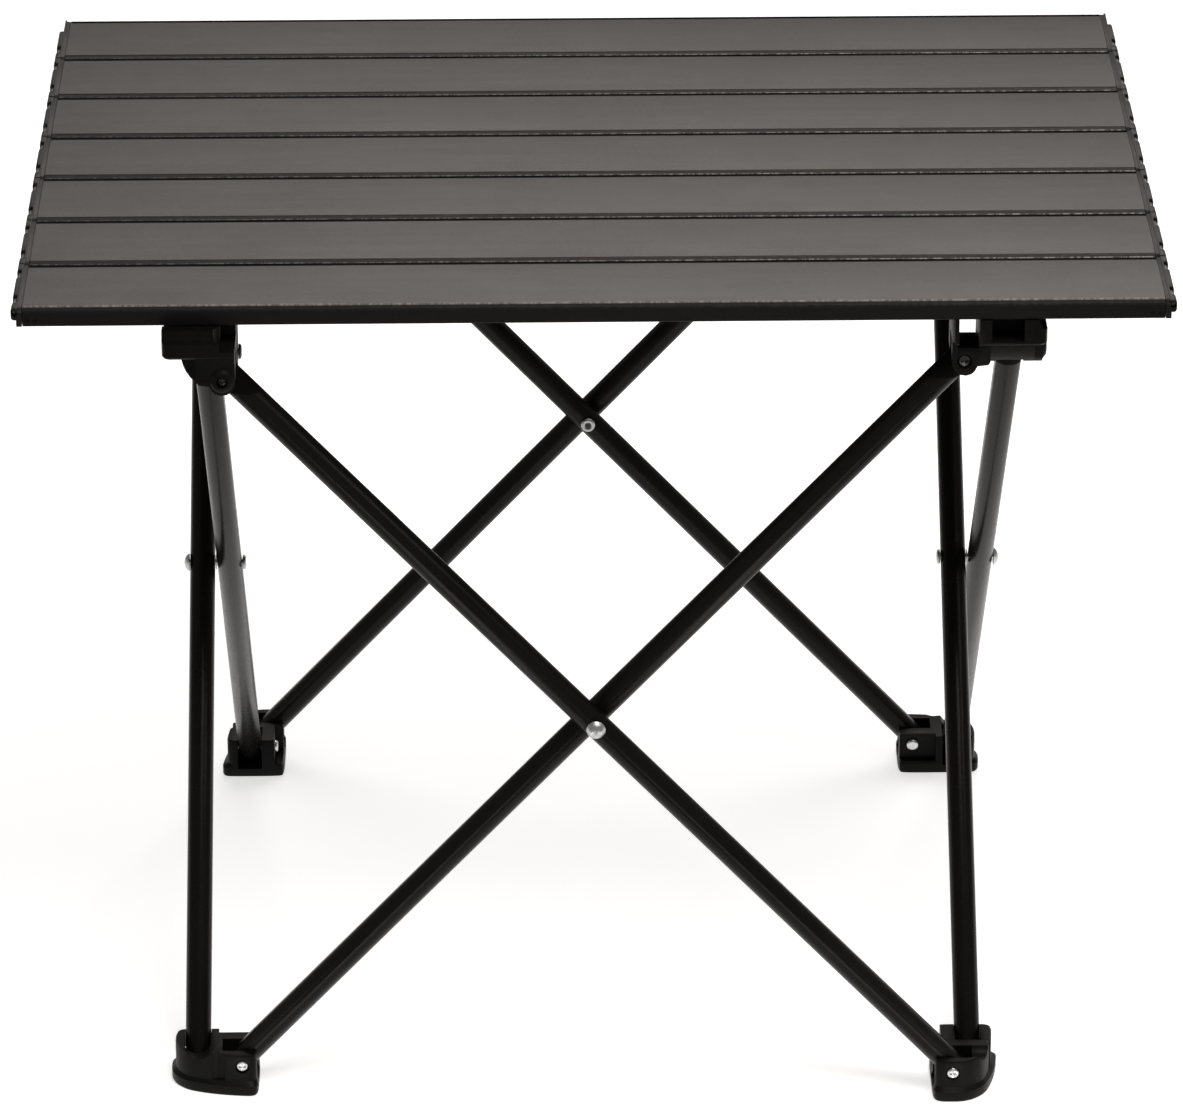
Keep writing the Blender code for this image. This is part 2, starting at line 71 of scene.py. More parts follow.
# ---------------------------------------------------------------- node helpers
class Mat:
    """Small wrapper to write node trees briefly."""

    def __init__(self, name):
        self.m = bpy.data.materials.new(name)
        self.m.use_nodes = True
        self.t = self.m.node_tree
        self.b = self.t.nodes["Principled BSDF"]
        self.co = self.n("ShaderNodeTexCoord").outputs["Object"]

    def n(self, kind, **kw):
        node = self.t.nodes.new(kind)
        for k, v in kw.items():
            setattr(node, k, v)
        return node

    def link(self, a, b):
        self.t.links.new(a, b)

    def mapped(self, scale=(1, 1, 1), rot=(0, 0, 0)):
        mp = self.n("ShaderNodeMapping")
        mp.inputs["Scale"].default_value = scale
        mp.inputs["Rotation"].default_value = rot
        self.link(self.co, mp.inputs["Vector"])
        return mp.outputs["Vector"]

    def noise(self, scale, detail=3.0, rough=0.55, vec=None, dist=0.0):
        t = self.n("ShaderNodeTexNoise")
        t.inputs["Scale"].default_value = scale
        t.inputs["Detail"].default_value = detail
        t.inputs["Roughness"].default_value = rough
        t.inputs["Distortion"].default_value = dist
        self.link(vec or self.co, t.inputs["Vector"])
        return t.outputs["Fac"]

    def cells(self, scale, vec=None, feature="F1"):
        t = self.n("ShaderNodeTexVoronoi")
        t.feature = feature
        t.inputs["Scale"].default_value = scale
        self.link(vec or self.co, t.inputs["Vector"])
        return t

    def ramp(self, fac, stops):
        r = self.n("ShaderNodeValToRGB")
        el = r.color_ramp.elements
        while len(el) < len(stops):
            el.new(0.5)
        for e, (p, c) in zip(el, stops):
            e.position = p
            e.color = (c, c, c, 1) if isinstance(c, (int, float)) else (*c, 1)
        self.link(fac, r.inputs["Fac"])
        return r.outputs["Color"]

    def remap(self, fac, a0, a1, b0, b1):
        r = self.n("ShaderNodeMapRange")
        for k, v in zip(("From Min", "From Max", "To Min", "To Max"), (a0, a1, b0, b1)):
            r.inputs[k].default_value = v
        self.link(fac, r.inputs["Value"])
        return r.outputs["Result"]

    def mix(self, fac, a, b, mode="MIX"):
        r = self.n("ShaderNodeMix", data_type="RGBA", blend_type=mode)
        if isinstance(fac, (int, float)):
            r.inputs[0].default_value = fac
        else:
            self.link(fac, r.inputs[0])
        for i, v in ((6, a), (7, b)):
            if isinstance(v, tuple):
                r.inputs[i].default_value = (*v, 1)
            else:
                self.link(v, r.inputs[i])
        return r.outputs[2]

    def math(self, op, a, b=0.0):
        r = self.n("ShaderNodeMath", operation=op)
        for i, v in ((0, a), (1, b)):
            if isinstance(v, (int, float)):
                r.inputs[i].default_value = v
            else:
                self.link(v, r.inputs[i])
        return r.outputs[0]

    def bump(self, height, strength, distance, normal=None):
        r = self.n("ShaderNodeBump")
        r.inputs["Strength"].default_value = strength
        r.inputs["Distance"].default_value = distance
        self.link(height, r.inputs["Height"])
        if normal:
            self.link(normal, r.inputs["Normal"])
        return r.outputs["Normal"]

    def set(self, **kw):
        for k, v in kw.items():
            key = k.replace("_", " ")
            if isinstance(v, (int, float)):
                self.b.inputs[key].default_value = v
            elif isinstance(v, tuple):
                self.b.inputs[key].default_value = (*v, 1)
            else:
                self.link(v, self.b.inputs[key])
        return self


def powder_coat():
    """Fine textured dark coat: orange peel, minute flakes, faint handling marks, painted glints and painted shade along
    the plank edges and fronts, and a painted sheen gradient.
    """
    m = Mat("slat_powder_coat")
    grain = m.noise(3100, 2.0, 0.6)
    peel = m.noise(900, 3.0, 0.5)
    cloud = m.noise(9, 4.0, 0.6)
    streak = m.noise(30, 4.0, 0.6, vec=m.mapped((0.35, 5.0, 5.0)))
    flakes = m.cells(3600)
    chosen = m.n("ShaderNodeSeparateColor")
    m.link(flakes.outputs["Color"], chosen.inputs[0])
    spark = m.ramp(chosen.outputs[0], ((0.0, 0.0), (0.90, 0.0), (0.99, 1.0)))
    base = m.ramp(cloud, ((0.25, (0.0092, 0.0084, 0.0078)), (0.75, (0.0136, 0.0126, 0.0118))))
    base = m.mix(m.remap(streak, 0.3, 0.7, 0.0, 0.25), base, (0.0170, 0.0158, 0.0148))
    base = m.mix(m.math("MULTIPLY", spark, 0.22), base, (0.16, 0.152, 0.145))
    rough = m.math("ADD", m.remap(cloud, 0.3, 0.7, 0.36, 0.42),
                   m.remap(streak, 0.3, 0.7, -0.02, 0.03))
    nrm = m.bump(peel, 0.20, 0.0005)
    nrm = m.bump(grain, 0.42, 0.00022, nrm)
    # painted highlight: a bright glinting line along the nose under each front bevel, brighter towards the right and
    # faint on the front plank
    xyz = m.n("ShaderNodeSeparateXYZ")
    m.link(m.co, xyz.inputs[0])
    off = m.math("FLOORED_MODULO", m.math("ADD", xyz.outputs[1], TOP_DEPTH / 2), PITCH)
    painted_glint = m.math("MULTIPLY", m.remap(off, 0.0016, 0.0021, 1.0, 0.0),
                  m.remap(xyz.outputs[2], TOP_Z - 0.0031, TOP_Z - 0.0027, 0.0, 1.0))
    glint_dash = m.ramp(m.noise(420, 4.0, 0.75, vec=m.mapped((1.0, 0.2, 0.2))), ((0.0, 0.10), (0.46, 0.16), (0.58, 1.0)))
    painted_glint = m.math("MULTIPLY", painted_glint, m.math("MULTIPLY", glint_dash, m.remap(xyz.outputs[0], -0.22, 0.20, 0.22, 1.0)))
    painted_glint = m.math("MULTIPLY", painted_glint, m.remap(xyz.outputs[1], -0.204, -0.190, 0.12, 1.0))
    # painted shade: a dark, dull band along each plank's rear edge, standing in for the shadowed gap to the next plank
    painted_gap_shade = m.math("MULTIPLY", m.remap(off, PITCH - 0.0057, PITCH - 0.0051, 0.0, 1.0),
                  m.remap(cloud, 0.3, 0.7, 0.85, 1.0))
    base = m.mix(m.math("MULTIPLY", painted_glint, 0.9), base, (0.42, 0.40, 0.38))
    base = m.mix(m.math("MULTIPLY", painted_gap_shade, 0.92), base, (0.002, 0.002, 0.002))
    spec = m.math("MULTIPLY", m.remap(painted_gap_shade, 0.0, 1.0, 1.0, 0.05), 0.26)
    rough = m.math("ADD", rough, m.math("MULTIPLY", painted_gap_shade, 0.55))
    # painted shade: the front faces are painted near black, with slightly less sheen
    front = m.math("MULTIPLY", m.remap(off, 0.0011, 0.0014, 1.0, 0.0),
                   m.remap(xyz.outputs[2], TOP_Z - 0.0031, TOP_Z - 0.0027, 1.0, 0.0))
    base = m.mix(m.math("MULTIPLY", front, 0.75), base, (0.0042, 0.0038, 0.0042))
    spec = m.math("MULTIPLY", spec, m.remap(front, 0.0, 1.0, 1.0, 0.90))
    # painted shade: the outermost bevel is painted as black as the front face; painted highlight: one bright line along
    # its top edge
    painted_bevel_shade = m.remap(xyz.outputs[1], -0.2050, -0.2044, 1.0, 0.0)
    base = m.mix(m.math("MULTIPLY", painted_bevel_shade, 0.8), base, (0.0042, 0.0038, 0.0042))
    spec = m.math("MULTIPLY", spec, m.remap(painted_bevel_shade, 0.0, 1.0, 1.0, 0.55))
    rough = m.math("ADD", rough, m.math("MULTIPLY", painted_bevel_shade, 0.15))
    painted_rim_glint = m.math("MULTIPLY", m.remap(xyz.outputs[1], -0.2050, -0.2046, 0.0, 1.0),
                 m.remap(xyz.outputs[1], -0.2040, -0.2036, 1.0, 0.0))
    base = m.mix(m.math("MULTIPLY", painted_rim_glint, m.remap(glint_dash, 0.1, 1.0, 0.25, 0.75)), base, (0.30, 0.285, 0.27))
    # painted sheen: sheen falls from front to back across each plank, more strongly towards the right, and falls
    # towards the back of the top
    painted_sheen_drift = m.math("MULTIPLY", m.remap(off, 0.0, PITCH, 1.0, -1.0), m.remap(xyz.outputs[0], -0.28, 0.28, 0.03, 0.24))
    spec = m.math("MULTIPLY", spec, m.math("ADD", painted_sheen_drift, m.remap(xyz.outputs[1], -0.20, 0.20, 1.04, 0.84)))
    blotch = m.math("ADD", m.remap(m.noise(34, 4.0, 0.6), 0.3, 0.7, -0.05, 0.05),
                    m.remap(m.noise(190, 3.0, 0.6), 0.3, 0.7, -0.035, 0.035))
    spec = m.math("MULTIPLY", spec, m.math("ADD", blotch, 1.0))
    m.set(Base_Color=base, Roughness=rough, Specular_IOR_Level=spec, Metallic=0.0, Normal=nrm)
    m.b.inputs["Specular Tint"].default_value = (1.0, 0.955, 0.915, 1)
    return m.m


def tube_coat():
    """Satin black coat on drawn tube: fine grain and light scuffs."""
    m = Mat("tube_satin_black")
    grain = m.noise(1900, 2.0, 0.55)
    cloud = m.noise(22, 4.0, 0.6)
    scuff = m.noise(120, 5.0, 0.7, dist=0.6)
    base = m.ramp(cloud, ((0.25, (0.0040, 0.0036, 0.0036)), (0.75, (0.0066, 0.0060, 0.0058))))
    worn = m.ramp(scuff, ((0.0, 0.0), (0.66, 0.0), (0.80, 1.0)))
    base = m.mix(m.math("MULTIPLY", worn, 0.05), base, (0.011, 0.0098, 0.0092))
    rough = m.remap(scuff, 0.25, 0.75, 0.22, 0.30)
    nrm = m.bump(grain, 0.14, 0.00018)
    # painted shade: the tube ends inside the hubs are painted dark and dull
    xyz = m.n("ShaderNodeSeparateXYZ")
    m.link(m.co, xyz.inputs[0])
    painted_end_shade = m.remap(xyz.outputs[2], Z_UP - 0.0116, Z_UP - 0.0100, 0.0, 1.0)
    base = m.mix(m.math("MULTIPLY", painted_end_shade, 0.8), base, (0.0030, 0.0028, 0.0028))
    rough = m.math("ADD", rough, m.math("MULTIPLY", painted_end_shade, 0.45))
    spec = m.math("MULTIPLY", m.remap(painted_end_shade, 0.0, 1.0, 1.0, 0.15), 0.13)
    m.set(Base_Color=base, Roughness=rough, Specular_IOR_Level=spec, Metallic=0.0, Normal=nrm)
    m.b.inputs["Specular Tint"].default_value = (1.0, 0.90, 0.82, 1)
    return m.m


def plastic(name, c0, c1, rough, grain_scale, spec=0.25, grain=0.22):
    """Moulded nylon: fine spark-eroded grain, flow clouding, dusty light wear."""
    m = Mat(name)
    g = m.cells(grain_scale)
    fine = m.noise(grain_scale * 1.6, 2.0, 0.6)
    cloud = m.noise(45, 4.0, 0.6)
    dust = m.noise(260, 5.0, 0.7)
    base = m.ramp(cloud, ((0.25, c0), (0.75, c1)))
    base = m.mix(m.math("MULTIPLY", m.ramp(dust, ((0.0, 0.0), (0.60, 0.0), (0.82, 1.0))), 0.30),
                 base, tuple(min(1.0, v * 2.4 + 0.006) for v in c1))
    rgh = m.math("ADD", m.remap(dust, 0.3, 0.7, rough - 0.05, rough + 0.06), 0.0)
    nrm = m.bump(g.outputs["Distance"], grain, 0.00022)
    nrm = m.bump(fine, grain * 0.8, 0.00014, nrm)
    m.set(Base_Color=base, Roughness=rgh, Specular_IOR_Level=spec, Metallic=0.0, Normal=nrm)
    return m.m


def metal(name, c0, c1, rough, scale, spin=40.0):
    """Turned or plated metal: fine scratches, small pits, uneven tone."""
    m = Mat(name)
    cloud = m.noise(260, 4.0, 0.6)
    scr = m.noise(900, 4.0, 0.7, vec=m.mapped((1.0, 1.0, 6.0)), dist=0.4)
    pits = m.cells(1300)
    base = m.ramp(cloud, ((0.25, c0), (0.75, c1)))
    dirt = m.ramp(m.noise(700, 4.0, 0.7), ((0.0, 0.0), (0.58, 0.0), (0.78, 1.0)))
    base = m.mix(m.math("MULTIPLY", dirt, 0.45), base, tuple(v * 0.35 for v in c0))
    rgh = m.remap(scr, 0.3, 0.7, rough - 0.06, rough + 0.10)
    nrm = m.bump(scr, 0.25, 0.00012)
    nrm = m.bump(pits.outputs["Distance"], 0.10, 0.00010, nrm)
    m.set(Base_Color=base, Roughness=rgh, Metallic=1.0, Normal=nrm)
    return m.m


def braid():
    """Woven polyester sheath of the elastic cord."""
    m = Mat("cord_braid")
    a = m.n("ShaderNodeTexWave", wave_type="BANDS", bands_direction="DIAGONAL")
    a.inputs["Scale"].default_value = 420
    a.inputs["Distortion"].default_value = 1.2
    m.link(m.co, a.inputs["Vector"])
    b = m.n("ShaderNodeTexWave", wave_type="BANDS", bands_direction="DIAGONAL")
    b.inputs["Scale"].default_value = 420
    b.inputs["Distortion"].default_value = 1.2
    m.link(m.mapped((1, -1, 1)), b.inputs["Vector"])
    w = m.math("MAXIMUM", a.outputs["Fac"], b.outputs["Fac"])
    fuzz = m.noise(2400, 3.0, 0.7)
    base = m.ramp(w, ((0.1, (0.05, 0.05, 0.049)), (0.9, (0.22, 0.215, 0.21))))
    base = m.mix(m.remap(fuzz, 0.5, 0.9, 0.0, 0.5), base, (0.34, 0.335, 0.33))
    nrm = m.bump(w, 0.6, 0.0003)
    nrm = m.bump(fuzz, 0.3, 0.00015, nrm)
    m.set(Base_Color=base, Roughness=m.remap(fuzz, 0.2, 0.8, 0.72, 0.92),
          Specular_IOR_Level=0.2, Normal=nrm)
    m.b.inputs["Sheen Weight"].default_value = 0.25
    m.b.inputs["Sheen Roughness"].default_value = 0.5
    return m.m


MAT = {
    "slat": powder_coat(),
    "cap": plastic("cap_moulded_grey_black", (0.0080, 0.0076, 0.0070), (0.0128, 0.0120, 0.0112), 0.44, 1500, 0.15),
    "cord": braid(),
    "leg": tube_coat(),
    "hub": plastic("hub_moulded_black", (0.0036, 0.0033, 0.0032), (0.0058, 0.0053, 0.0051), 0.46, 1100, 0.07),
    "foot": plastic("foot_moulded_black", (0.0036, 0.0034, 0.0032), (0.0060, 0.0057, 0.0053), 0.44, 1000, 0.10),
    "rivet": metal("rivet_bright_aluminium", (0.42, 0.42, 0.42), (0.58, 0.58, 0.58), 0.36, 600),
    # darker metal than the foot screws, used for the screws in the hubs
    "pinb": metal("screw_dark_metal", (0.055, 0.052, 0.050), (0.12, 0.115, 0.11), 0.30, 600),
    "pin": metal("screw_zinc_plated", (0.52, 0.52, 0.53), (0.80, 0.79, 0.78), 0.24, 600),
}


# ---------------------------------------------------------------- mesh helpers
def to_mesh(bm):
    bmesh.ops.recalc_face_normals(bm, faces=bm.faces)
    me = bpy.data.meshes.new("m")
    bm.to_mesh(me)
    bm.free()
    return me


def box(x0, x1, y0, y1, z0, z1):
    bm = bmesh.new()
    bmesh.ops.create_cube(bm, size=1.0)
    for v in bm.verts:
        v.co = Vector(((x0 + x1) / 2 + v.co.x * (x1 - x0),
                       (y0 + y1) / 2 + v.co.y * (y1 - y0),
                       (z0 + z1) / 2 + v.co.z * (z1 - z0)))
    return to_mesh(bm)


def loft(rings, caps=True):
    bm = bmesh.new()
    vs = [[bm.verts.new(p) for p in r] for r in rings]
    n = len(rings[0])
    for a, b in zip(vs, vs[1:]):
        for i in range(n):
            bm.faces.new((a[i], a[(i + 1) % n], b[(i + 1) % n], b[i]))
    if caps:
        bm.faces.new(list(reversed(vs[0])))
        bm.faces.new(vs[-1])
    return to_mesh(bm)


def basis(axis):
    ax = Vector(axis).normalized()
    side = Vector((0, 0, 1)) if abs(ax.z) < 0.5 else Vector((1, 0, 0))
    e1 = (side - ax * side.dot(ax)).normalized()
    return ax, e1, ax.cross(e1)


def lathe(profile, n, axis, centre):
    ax, e1, e2 = basis(axis)
    bm = bmesh.new()
    closed = profile[0] == profile[-1]
    prof = profile[:-1] if closed else profile
    rings = []
    for r, t in prof:
        c = Vector(centre) + ax * t
        if r <= 1e-9:
            rings.append([bm.verts.new(c)])
        else:
            rings.append([bm.verts.new(c + (e1 * math.cos(a) + e2 * math.sin(a)) * r)
                          for a in [2 * math.pi * (i + 0.5) / n for i in range(n)]])
    pairs = list(zip(rings, rings[1:]))
    if closed:
        pairs.append((rings[-1], rings[0]))
    for a, b in pairs:
        if len(a) == 1 and len(b) == 1:
            continue
        for i in range(n):
            j = (i + 1) % n
            if len(a) == 1:
                bm.faces.new((a[0], b[i], b[j]))
            elif len(b) == 1:
                bm.faces.new((a[i], a[j], b[0]))
            else:
                bm.faces.new((a[i], a[j], b[j], b[i]))
    return to_mesh(bm)


def rod(r, p0, p1, n=32):
    p0, p1 = Vector(p0), Vector(p1)
    d = (p1 - p0).length
    return lathe([(0, 0), (r, 0), (r, d), (0, d)], n, p1 - p0, p0)


def cut(mesh, cutters, add=(), bevel=0.0, seg=2, angle=38):
    """Boolean additions and cuts, then an edge bevel, as a plain mesh."""
    base = bpy.data.objects.new("tmp_base", mesh)
    bpy.context.collection.objects.link(base)
    tools = []
    for op, group in (("UNION", add), ("DIFFERENCE", cutters)):
        for c in group:
            t = bpy.data.objects.new("tmp_cut", c)
            bpy.context.collection.objects.link(t)
            m = base.modifiers.new("b", "BOOLEAN")
            m.operation, m.solver, m.object = op, "EXACT", t
            tools.append(t)
    if bevel:
        w = base.modifiers.new("w", "WELD")
        w.merge_threshold = 0.00001
        d = base.modifiers.new("d", "DECIMATE")
        d.decimate_type, d.angle_limit = "DISSOLVE", math.radians(0.6)
        v = base.modifiers.new("v", "BEVEL")
        v.width, v.segments, v.limit_method = bevel, seg, "ANGLE"
        v.angle_limit = math.radians(angle)
        v.use_clamp_overlap = True
        v.harden_normals = False
        v.miter_outer = "MITER_ARC"
    dg = bpy.context.evaluated_depsgraph_get()
    dg.update()
    out = bpy.data.meshes.new_from_object(base.evaluated_get(dg))
    for t in tools + [base]:
        bpy.data.objects.remove(t, do_unlink=True)
    return out


def turned(mesh, k):
    m = mesh.copy()
    m.transform(Matrix.Rotation(k * math.pi / 2, 4, "Z"))
    return m


def place(name, mesh, style, node, angle=35, replace=True, body=None):
    """Link a finished mesh as a piece riding on its node's body."""
    mesh.name = name
    mesh.materials.clear()
    mesh.materials.append(MAT[style])
    o = bpy.data.objects.new(name, mesh)
    bpy.context.collection.objects.link(o)
    for p in mesh.polygons:
        p.use_smooth = True
    mesh.set_sharp_from_angle(angle=math.radians(angle))
    if body != "blend":
        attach(o, body or BODY[node])
    if replace:
        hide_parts(node)
    return o


def arc(cx, cy, r, a0, a1, n):
    return [(cx + r * math.cos(math.radians(a0 + (a1 - a0) * i / n)),
             cy + r * math.sin(math.radians(a0 + (a1 - a0) * i / n))) for i in range(n + 1)]


# ---------------------------------------------------------------- slats
def slat_mesh(yc, i):
    """Open-bottomed extrusion: crowned top, wide front bevel, rounded corners, ribs inside."""
    w, t, lip = SLAT_METAL / 2, SLAT_WALL, 0.0062
    z1, z0 = TOP_Z, SLAT_BOT

    def crown(y):
        return z1 - 0.00060 * (y / w) ** 2
    b0, b1 = -w + 0.0005, z1 - 0.00185      # lower edge of the front bevel
    prof = [(-w + 0.0004, z0), (-w, z0 + 0.0004), (-w, b1 - 0.0006)]
    prof += [(b0 - 0.0005 * math.cos(math.radians(a)), b1 - 0.0006 + 0.0007 * math.sin(math.radians(a)))
             for a in (12, 24, 36, 48, 60, 70)]
    prof += [(-w + 0.0026, z1 - 0.00095), (-w + 0.00285, z1 - 0.00078), (-w + 0.0032, crown(-w + 0.0032))]
    prof += [(y, crown(y)) for y in [(-w + 0.0032) + (2 * w - 0.0044) * k / 16 for k in range(1, 16)]]
    prof += [(w - 0.0012, crown(w - 0.0012))]
    prof += arc(w - 0.0007, z1 - 0.0015, 0.0007, 78, 0, 8)
    prof += [(w, z0 + 0.0004), (w - 0.0004, z0), (w - lip, z0), (w - lip, z0 + 0.0013), (w - t, z0 + 0.0013),
             (w - t, z1 - t - 0.0006), (w - t - 0.0006, z1 - t)]
    for c in (0.0150, -0.0150):     # stiffening ribs under the top
        prof += [(c + 0.0010, z1 - t), (c + 0.0008, z1 - t - 0.0022), (c - 0.0008, z1 - t - 0.0022), (c - 0.0010, z1 - t)]
    prof += [(-w + t + 0.0010, z1 - t), (-w + t, z1 - t - 0.0010), (-w + t, z0 + 0.0013),
             (-w + lip, z0 + 0.0013), (-w + lip, z0)]
    xs = [-SLAT_END, -SLAT_END + 0.0003, SLAT_END - 0.0003, SLAT_END]
    me = loft([[(x, yc + y, z) for y, z in prof] for x in xs])
    if i == 0:
        # crimp marks near the ends of the front face
        dents = []
        for s in (-1, 1):
            for d in (0.2722, 0.2686):
                dents.append(lathe([(0, 0), (0.0012, 0), (0.0009, 0.0007), (0, 0.0009)], 12, (0, 1, 0),
                                   (s * d, yc - w - 0.0002, z0 + 0.0030)))
        me = cut(me, dents)
    return me


# ---------------------------------------------------------------- end caps
def cap_mesh(yc, s, last):
    w = CAP_WIDTH / 2
    x0, x1, x2 = SLAT_END + GAP, CAP_PLATE, TOP_WIDTH / 2
    z0, z1 = SLAT_BOT, TOP_Z
    sec = [(-w + 0.0004, z0), (-w, z0 + 0.0004), (-w, z1 - 0.0026), (-w + 0.0004, z1 - 0.0021), (-w + 0.0030, z1 - 0.0010),
           (-w + 0.0036, z1 - 0.00085), (w - 0.0012, z1 - 0.00085), (w - 0.0004, z1 - 0.0012), (w, z1 - 0.0018),
           (w, z0 + 0.0004), (w - 0.0004, z0)]
    body = loft([[(s * x0, yc + y, z) for y, z in sec], [(s * x1, yc + y, z) for y, z in sec]])
    iw = SLAT_METAL / 2 - SLAT_WALL - 0.0009
    xs = sorted((s * 0.2600, s * (x0 + 0.001)))
    plug = box(xs[0], xs[1], yc - iw, yc + iw, z0 + 0.0013 + GAP, z1 - SLAT_WALL - 0.0028)
    sec = [(x1 - 0.0008, RAIL_Z0), (x2 - 0.0010, RAIL_Z0), (x2 - 0.0003, RAIL_Z0 + 0.0006), (x2, RAIL_Z0 + 0.0016),
           (x2, RAIL_Z1 - 0.0014), (x2 - 0.0003, RAIL_Z1 - 0.0005), (x2 - 0.0009, RAIL_Z1), (x1 - 0.0008, RAIL_Z1)]
    rail = loft([[(s * x, yc + y, z) for x, z in sec] for y in (-w + 0.0002, w - 0.0002)])
    hole = rod(CORD_HOLE, (s * CORD_X, yc - w - 0.002, CORD_Z), (s * CORD_X, yc + w + 0.002, CORD_Z), 20)
    gone = []
    xs = sorted((s * (x1 + 0.0001), s * (x2 + 0.002)))
    for e in (-1, 1):
        a = w - LUG
        ys = sorted((yc + e * a, yc + e * (a - WINDOW)))
        if last and e == 1:
            ys[1] = yc + w + 0.01
        gone.append(box(xs[0], xs[1], ys[0], ys[1], RAIL_Z0 - 0.002, RAIL_Z1 + 0.002))
    xs = sorted((s * 0.2560, s * 0.2735))
    cores = [box(xs[0], xs[1], yc + a, yc + b, z0 - 0.001, z1 - SLAT_WALL - 0.0040)
             for a, b in ((-0.0235, -0.0085), (-0.0070, 0.0070), (0.0085, 0.0235))]
    return cut(body, gone + [hole] + cores, add=[plug, rail], bevel=0.00022, seg=2)


for i in range(SLAT_COUNT):
    yc = -TOP_DEPTH / 2 + PITCH * (i + 0.5)
    n = i + 1
    place("slat_plank_%d" % n, slat_mesh(yc, i), "slat", "slat_%d" % n, angle=13)
    for s, t in ((-1, "l"), (1, "r")):
        place("endcap_%s_%d" % (t, n), cap_mesh(yc, s, i == SLAT_COUNT - 1), "cap", "cap_%s_%d" % (t, n))


# ---------------------------------------------------------------- elastic cords
def cord_mesh(x, y0, y1, step=0.0003, ends=(False, False)):
    """Braided cord along Y with a raised plait."""
    n = 20
    count = max(2, int(math.ceil((y1 - y0) / step)))
    rings = []
    for k in range(count + 1):
        y = y0 + (y1 - y0) * k / count
        shrink = 1.0
        if ends[0] and k == 0 or ends[1] and k == count:
            shrink = 0.6
        ring = []
        for i in range(n):
            a = 2 * math.pi * i / n
            u = y * 2 * math.pi / 0.0026
            plait = abs(math.sin(2 * a + u)) * abs(math.sin(2 * a - u))
            r = CORD_R * (0.90 + 0.10 * plait) * shrink
            ring.append((x + r * math.cos(a), y, CORD_Z + r * math.sin(a)))
        rings.append(ring)
    return loft(rings)


for s, t in ((-1, "l"), (1, "r")):
    for i in range(SLAT_COUNT):
        yA = -TOP_DEPTH / 2 + PITCH * i
        yB = yA + PITCH
        a = -TOP_DEPTH / 2 + CORD_END if i == 0 else yA + 0.0035
        b = TOP_DEPTH / 2 - CORD_BACK if i == SLAT_COUNT - 1 else yB - 0.0035
        place("cord_%s_run_%d" % (t, i + 1), cord_mesh(s * CORD_X, a, b, ends=(i == 0, i == SLAT_COUNT - 1)),
              "cord", "cord_" + t, angle=80, replace=(i == 0), body="slat_%d" % (i + 1))
        if i:
            o = place("cord_%s_gap_%d" % (t, i), cord_mesh(s * CORD_X, yA - 0.0036, yA + 0.0036), "cord",
                      "cord_" + t, angle=80, replace=False, body="blend")
            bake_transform(o)


# ---------------------------------------------------------------- frame tubes
def tube_mesh(kind):
    y = -P_OUT if kind == "outer" else -P_IN
    lo = Vector((H if kind == "outer" else -H, y, Z_LO))
    up = Vector((-H if kind == "outer" else H, y, Z_UP))
    d = (up - lo).normalized()
    a = lo - d * TUBE_OVER
    length = (up - lo).length + 2 * TUBE_OVER
    e = 0.0004
    body = lathe([(TUBE_BORE, e), (TUBE_BORE + e, 0), (TUBE_R - e, 0), (TUBE_R - e * 0.3, e * 0.3), (TUBE_R, e),
                  (TUBE_R, length - e), (TUBE_R - e * 0.3, length - e * 0.3), (TUBE_R - e, length),
                  (TUBE_BORE + e, length), (TUBE_BORE, length - e), (TUBE_BORE, e)], 56, d, a)
    holes = [rod(PIN_HOLE, (c.x, y - 0.01, c.z), (c.x, y + 0.01, c.z), 20) for c in (lo, up, (lo + up) / 2)]
    return cut(body, holes)


# ---------------------------------------------------------------- hubs and feet
FAR = 0.060
UO, VO = -(P_OUT - H), -(P_OUT - H)
UI, VI = -(P_IN - H), -(P_IN - H)
HUB = (-0.0287, 0.0062, -0.0392, 0.0062)
FOOT_TOP = 0.0066
BOSS_N, PIN_N, SADDLE_N = 32, 26, 48


def uv_box(u0, u1, v0, v1, z0, z1, zp):
    return box(-H + u0, -H + u1, -H + v0, -H + v1, zp + z0, zp + z1)


def prism(pts, k, a, b):
    """Prism of a 2-D outline: k is the axis it runs along, a to b; u, v measured from the pivots."""
    rings = []
    for t in (a, b):
        ring = []
        for p, q in pts:
            if k == "u":
                ring.append((-H + t, -H + p, Z_UP + q))
            elif k == "v":
                ring.append((-H + p, -H + t, Z_UP + q))
            else:
                ring.append((-H + p, -H + q, Z_UP + t))
        rings.append(ring)
    return loft(rings)


